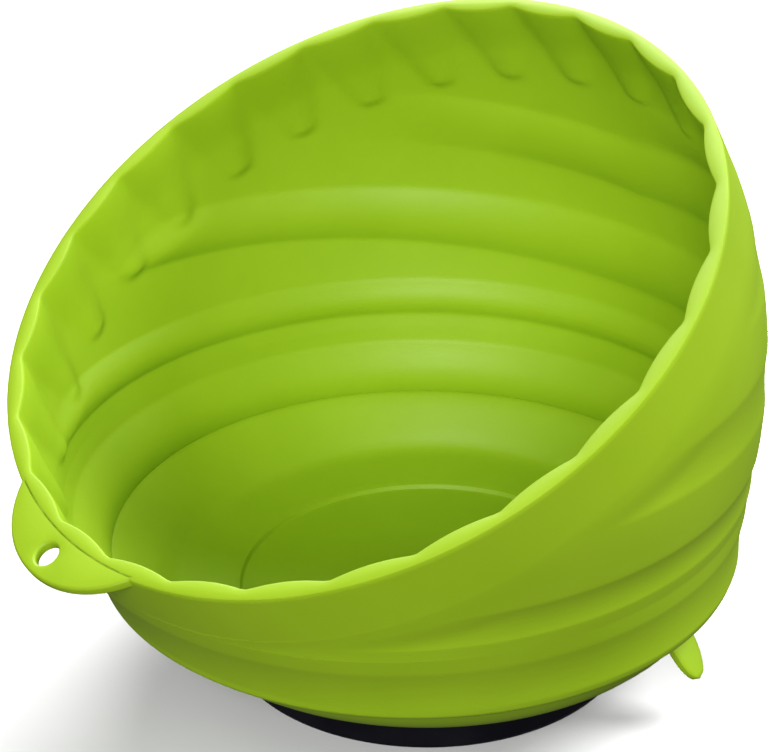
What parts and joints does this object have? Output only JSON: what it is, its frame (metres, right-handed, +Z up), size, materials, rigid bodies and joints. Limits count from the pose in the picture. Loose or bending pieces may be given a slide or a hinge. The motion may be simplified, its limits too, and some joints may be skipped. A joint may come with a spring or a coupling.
{
  "type": "magnetic parts tray",
  "caption": "Folding silicone bowl on a round magnetic foot, leaning to one side, with a hang tab; it holds screws and small parts.",
  "frame": {"origin": "middle of the underside of the foot", "axes": "+Z up; +X to the right and +Y to the back as the tray is seen in the picture"},
  "size_m": [0.152, 0.1519, 0.1283],
  "materials": {
    "silicone": "satin",
    "foot_black": "satin",
    "pad_rubber": "matte",
    "ferrite": "matte",
    "plate_steel": "brushed",
    "bond": "matte"
  },
  "bodies": {
    "foot": {"base_cup": "foot_black", "foot_pad": "pad_rubber", "ring_magnet": "ferrite", "pole_plate": "plate_steel", "bond_disc": "bond", "bowl_pan": "silicone", "lower_band": "silicone"},
    "second_band": {"second_band": "silicone"},
    "third_band": {"third_band": "silicone"},
    "fourth_band": {"fourth_band": "silicone"},
    "rim_band": {"rim_band": "silicone"}
  },
  "joints": [
    {"name": "second_fold", "type": "hinge", "parent": "foot", "child": "second_band", "pos_m": [-0.05797, -0.05219, 0.042], "axis": [0.6691, -0.7431, 0], "range_deg": [-5.5, 0]},
    {"name": "third_fold", "type": "hinge", "parent": "second_band", "child": "third_band", "pos_m": [-0.05797, -0.05219, 0.042], "axis": [0.6691, -0.7431, 0], "range_deg": [-10, 0]},
    {"name": "fourth_fold", "type": "hinge", "parent": "third_band", "child": "fourth_band", "pos_m": [-0.05797, -0.05219, 0.042], "axis": [0.6691, -0.7431, 0], "range_deg": [-8.5, 0]},
    {"name": "rim_fold", "type": "hinge", "parent": "fourth_band", "child": "rim_band", "pos_m": [-0.05797, -0.05219, 0.042], "axis": [0.6691, -0.7431, 0], "range_deg": [-6, 0]}
  ]
}
